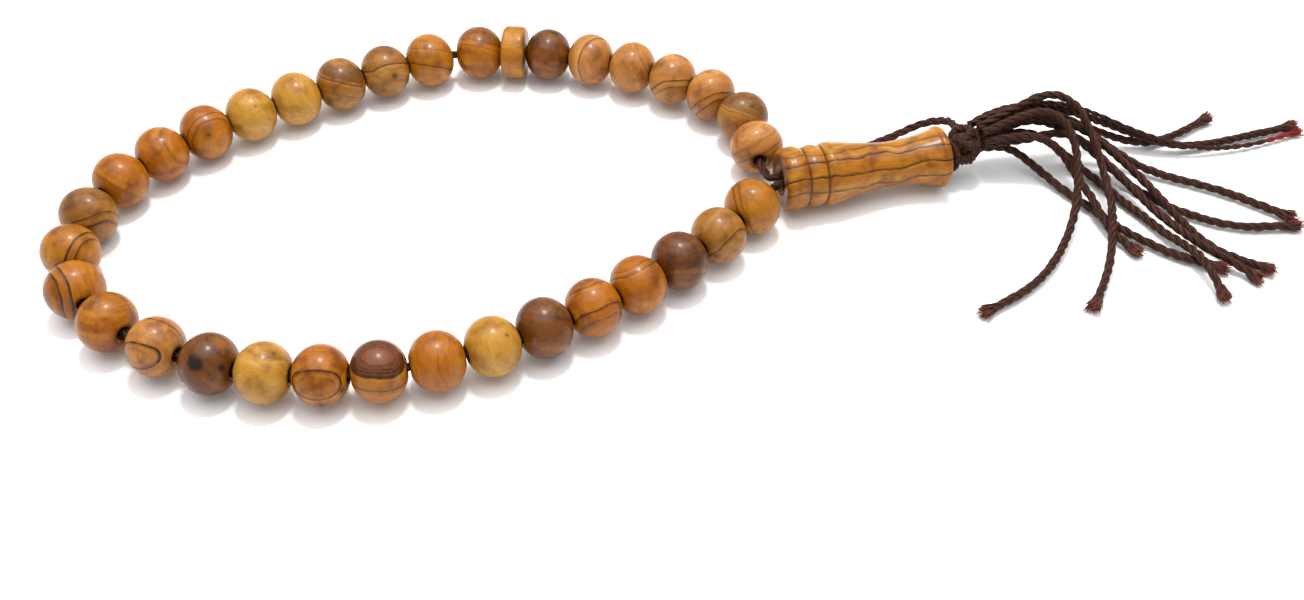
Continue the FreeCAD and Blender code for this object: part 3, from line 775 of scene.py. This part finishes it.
def make_strand(number, route):
    """One strand and its frayed end: three plies, or two finer ones with a red end."""
    name = "tassel_strand_%02d" % number
    thin = number == THIN_STRAND
    diameter = THIN_WIDTH if thin else CORD_WIDTH
    line = even(nurbs_points(name, [Vector(place) for place in route]), STEP)
    cord = Builder()
    fibres = Builder()
    seed = number * 3.7
    start_turn = number * 1.9
    if thin:
        twist(cord, line, diameter, THIN_PITCH, plies=2, seed=seed, flare=0.3, red_length=RED_LENGTH,
              start_turn=start_turn)
        fray_end(fibres, line, diameter * FRAY_WIDTH, count=30, spread=0.5, seed=500 + number)
    else:
        twist(cord, line, diameter, PITCH, seed=seed, flare=0.8, start_turn=start_turn)
        fray_end(fibres, line, diameter * FRAY_WIDTH, count=85, spread=0.32, seed=500 + number)
    strand = cord.make("strand_%02d" % number, CORD_RED if thin else CORD)
    fray = fibres.make("strand_%02d_fray" % number, FRAY_RED if thin else FRAY)
    body = "head_cord" if number == STRAND_UNDER_POUCH else "tassel"
    for piece in (strand, fray):
        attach(piece, body)
    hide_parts(name)


def make_tassel():
    """Thirteen strands, one of them beside the imame."""
    for number, (route, length) in enumerate(zip(STRANDS, LENGTHS), start=1):
        make_strand(number, route)


# ---------------------------------------------------------------- the string through the beads
# Corners of the string's route through the bores, from the imame's front side round the loop.
STRING_HEIGHT = 0.00515
FRONT = [(0.043, 0.0018), (0.0349, -0.0091), (0.0147, -0.0263), (-0.0076, -0.038)]
LEFT = [(-0.0263, -0.0425), (-0.0471, -0.041), (-0.0673, -0.0319), (-0.0789, -0.0192), (-0.0779, -0.0041)]
BACK = [(-0.0749, 0.005), (-0.0638, 0.0172), (-0.0506, 0.0258), (-0.0369, 0.0339), (-0.0213, 0.041)]
SIDE = [(-0.0127, 0.0435), (0.002, 0.0425), (0.0157, 0.0394), (0.0283, 0.0334), (0.0377, 0.0263),
        (0.0413, 0.0187), (0.0416, 0.0101), (0.0428, 0.0059)]
LEG_OFFSET = 0.9 * MM            # of each leg of the cord from the imame's axis
HIDDEN = 3 * MM                  # the runs end inside the bores beside each flex point
BEND_STEPS = round(3.3 * MM / STEP)    # of the piece that bends, on each side of its flex point
MOUTH_REACH = 9.6 * MM           # of the piece that bends at the imame's mouth
FRONT_CUT = 9 * MM               # off the front run's end, so that it ends just inside that piece
RIGHT_CUT = 0.6 * MM             # off the right run's end, so that it clears the imame as the loop swings


def at_height(corner):
    return Vector((corner[0], corner[1], STRING_HEIGHT))


def middle(a, b):
    return (at_height(a) + at_height(b)) / 2


def trimmed(line, from_start, from_end):
    """An evenly spaced line with a length cut from each end."""
    step = (line[1] - line[0]).length
    first = round(from_start / step)
    last = len(line) - round(from_end / step)
    return line[first:last]


def string_piece(name, line, body, nodes_replaced=()):
    """A stretch of the string; the name's length varies its twist."""
    builder = Builder()
    twist(builder, line, CORD_WIDTH, PITCH, seed=len(name) * 1.7)
    piece = builder.make(name, CORD)
    if nodes_replaced:
        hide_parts(*nodes_replaced)
    if body:
        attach(piece, body)
    return piece


def string_lines():
    """The four runs between the flex points, and the leg of the imame's front side."""
    flex_left = middle(FRONT[-1], LEFT[0])
    flex_back = middle(LEFT[-1], BACK[0])
    flex_right = middle(BACK[-1], SIDE[0])
    across = Vector((0, 0, 1)).cross(IMAME_AXIS).normalized() * LEG_OFFSET
    front_leg, side_leg = IMAME_MOUTH - across, IMAME_MOUTH + across
    into = [front_leg - IMAME_AXIS * 0.9 * MM, front_leg + IMAME_AXIS * 4 * MM]
    front = nurbs_points("front", [flex_left] + [at_height(corner) for corner in FRONT[::-1]] + into)
    left = nurbs_points("left", [flex_left] + [at_height(corner) for corner in LEFT] + [flex_back])
    back = nurbs_points("back", [flex_back] + [at_height(corner) for corner in BACK] + [flex_right])
    into = [side_leg - IMAME_AXIS * 1.5 * MM, side_leg + IMAME_AXIS * 1.0 * MM]
    side = nurbs_points("right", [flex_right] + [at_height(corner) for corner in SIDE] + into)
    return [even(points, STEP) for points in (front, left, back, side)], front_leg


def make_bend(name, before, after):
    """The short stretch at a flex point; before ends there, and after starts there."""
    line = before + after[1:BEND_STEPS + 1]
    piece = string_piece(name, line, None)
    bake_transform(piece)


def make_string():
    """Four runs that each ride on their own body, and a piece that bends at each flex point."""
    (front, left, back, side), front_leg = string_lines()
    string_piece("string_front", trimmed(front, HIDDEN, FRONT_CUT), "front_run", ["cord_front"])
    head = string_piece("string_mouth", front[-round(MOUTH_REACH / STEP):], None)
    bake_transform(head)
    string_piece("string_left", trimmed(left, HIDDEN, HIDDEN), "left_run", ["cord_left"])
    string_piece("string_back", trimmed(back, HIDDEN, HIDDEN), "back_run", ["cord_back"])
    string_piece("string_right", trimmed(side, HIDDEN, RIGHT_CUT), "right_run", ["cord_right"])
    # the front run's line starts at its flex point, so it is turned round here
    make_bend("string_bend_left", front[BEND_STEPS::-1], left)
    make_bend("string_bend_back", left[-BEND_STEPS - 1:], back)
    make_bend("string_bend_right", back[-BEND_STEPS - 1:], side)


# ---------------------------------------------------------------- the knot
KNOT = Vector(joints["tassel_swing"]["pos_m"])
KNOT_SIDE = IMAME_AXIS.cross(Vector((0, 0, 1))).normalized()
KNOT_UP = KNOT_SIDE.cross(IMAME_AXIS)
BALL_POINTS = 560                # of each winding's line
BALL_RADIUS = 2.84               # of that line, in mm
BALL_RISE = 0.32                 # how far it rises and dips where the windings cross, in mm
BALL_UNEVEN = 0.12
BALL_TILT = 0.98                 # how far it reaches from the knot's middle toward its ends, in radians
BALL_CORD = 1.45 * MM            # the windings' cord and its lay
BALL_PITCH = 3.6 * MM
COLLAR_TURNS = ((0.75, 2.25), (1.75, 2.55))    # each one's distance from the wood and its radius, in mm
COLLAR_SLANT = 0.22
COLLAR_CORD = 1.3 * MM
COLLAR_PITCH = 3.4 * MM
COLLAR_POINTS = 80
NECK_CORDS = 5
NECK_CORD = 1.4 * MM
NECK_RADIUS = 1.15 * MM
CORE_RINGS = 25
CORE_RADIUS = 2.75 * MM
CORE_LENGTH = 5.2 * MM
CORE_SIDES = 28


def round_axis(angle):
    """A direction square to the imame's axis."""
    return KNOT_SIDE * math.cos(angle) + KNOT_UP * math.sin(angle)


def wind_ball(builder):
    """Two interlaced windings, each passing over and under as it crosses the other."""
    for winding, (turns, waves, lift) in enumerate(((3, 5, 0.0), (3, 4, 0.9))):
        line = []
        for index in range(BALL_POINTS):
            t = 2 * math.pi * index / (BALL_POINTS - 1)
            tilt = BALL_TILT * math.sin(waves * t + lift)
            over = BALL_RISE * math.cos(2 * waves * t + lift * 2)
            uneven = BALL_UNEVEN * noise.noise(Vector((t * 1.7, winding, 0)))
            ring = round_axis(turns * t + winding * 0.4)
            out = IMAME_AXIS * math.sin(tilt) + ring * math.cos(tilt)
            line.append(KNOT + out * ((BALL_RADIUS + over + uneven) * MM))
        twist(builder, even(line, STEP), BALL_CORD, BALL_PITCH, seed=40 + winding * 3.3)


def wind_collar(builder):
    """Two slanting turns round the cords, against the wood."""
    for wrap, (out, radius) in enumerate(COLLAR_TURNS):
        line = []
        for index in range(COLLAR_POINTS):
            t = 2 * math.pi * index / (COLLAR_POINTS - 1)
            lean = COLLAR_SLANT * math.sin(t + wrap)
            line.append(IMAME_END + IMAME_AXIS * (out + lean) * MM + round_axis(t) * radius * MM)
        twist(builder, even(line, STEP), COLLAR_CORD, COLLAR_PITCH, seed=60 + wrap)


def lay_neck(builder):
    """The cords that come out of the wood, under the collar."""
    for index in range(NECK_CORDS):
        ring = round_axis(2 * math.pi * index / NECK_CORDS) * NECK_RADIUS
        route = [IMAME_END - IMAME_AXIS * 1.2 * MM + ring, IMAME_END + IMAME_AXIS * 1.5 * MM + ring * 1.1,
                 KNOT + ring * 0.8]
        twist(builder, even(nurbs_points("neck", route), STEP), NECK_CORD, PITCH, seed=70 + index)


def fill_core(builder):
    """A round core that fills the space between the windings."""
    shares = [index / (CORE_RINGS - 1) - 0.5 for index in range(CORE_RINGS)]
    line = [KNOT + IMAME_AXIS * share * CORE_LENGTH for share in shares]
    radii = [math.sqrt(max(0.02, 1 - (share * 2) ** 2)) * CORE_RADIUS for share in shares]
    builder.tube(line, radii, CORE_SIDES, [0.0] * CORE_RINGS)


def make_knot():
    """A round braided knot: cords wound over and under each other round a core, and a collar at the wood."""
    builder = Builder()
    wind_ball(builder)
    wind_collar(builder)
    lay_neck(builder)
    fill_core(builder)
    knot = builder.make("knot_wrap", CORD)
    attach(knot, "head_cord")
    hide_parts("knot")


# ---------------------------------------------------------------- floor and light
FLOOR_HALF = 3.0
FLOOR_GAP = 0.1 * MM              # below the lowest piece


def make_floor():
    """A pale table top, just under the lowest piece."""
    mesh = bpy.data.meshes.new("floor")
    corners = [(x * FLOOR_HALF, y * FLOOR_HALF, 0) for x, y in ((-1, -1), (1, -1), (1, 1), (-1, 1))]
    mesh.from_pydata(corners, [], [(0, 1, 2, 3)])
    floor = bpy.data.objects.new("floor", mesh)
    bpy.context.scene.collection.objects.link(floor)
    low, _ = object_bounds()
    floor.location.z = min(0.0, low.z) - FLOOR_GAP
    material, tree = new_material("floor_pale")
    place = node(tree, "ShaderNodeTexCoord", output="Object")
    rough = fade(tree, grain(tree, place, 40.0), 0.3, 0.7, 0.55, 0.65)
    shader = node(tree, "ShaderNodeBsdfPrincipled",
                  [("Base Color", (0.93, 0.93, 0.93, 1)), ("Roughness", rough)])
    finish_material(tree, shader)
    mesh.materials.append(material)


LIT_PLACE = Vector((0.02, 0, 0))


def area_light(name, place, size, power, colour=(1, 1, 1)):
    """A rectangular light that faces the middle of the beads."""
    data = bpy.data.lights.new(name, "AREA")
    data.shape = "RECTANGLE"
    data.size, data.size_y = size
    data.energy = power
    data.color = colour
    light = bpy.data.objects.new(name, data)
    light.location = place
    light.rotation_mode = "QUATERNION"
    light.rotation_quaternion = (LIT_PLACE - Vector(place)).to_track_quat("-Z", "Y")
    bpy.context.scene.collection.objects.link(light)


def make_light():
    """A white room, a soft light above and a small one behind for the highlights."""
    world = bpy.data.worlds.new("studio")
    bpy.context.scene.world = world
    world.use_nodes = True
    background = world.node_tree.nodes["Background"]
    background.inputs["Color"].default_value = (1, 1, 1, 1)
    background.inputs["Strength"].default_value = 0.62
    area_light("key", (0.03, 0.14, 0.62), (0.10, 0.10), 2.4, (1.0, 0.985, 0.96))
    area_light("top", (0.02, 0.12, 0.80), (1.3, 1.0), 8.5)
    bpy.context.scene.view_settings.view_transform = "Standard"


make_camera()
make_tassel()
make_string()
dress_beads()
dress_disc()
dress_imame()
give("cord_legs", CORD)
make_knot()
make_floor()
make_light()
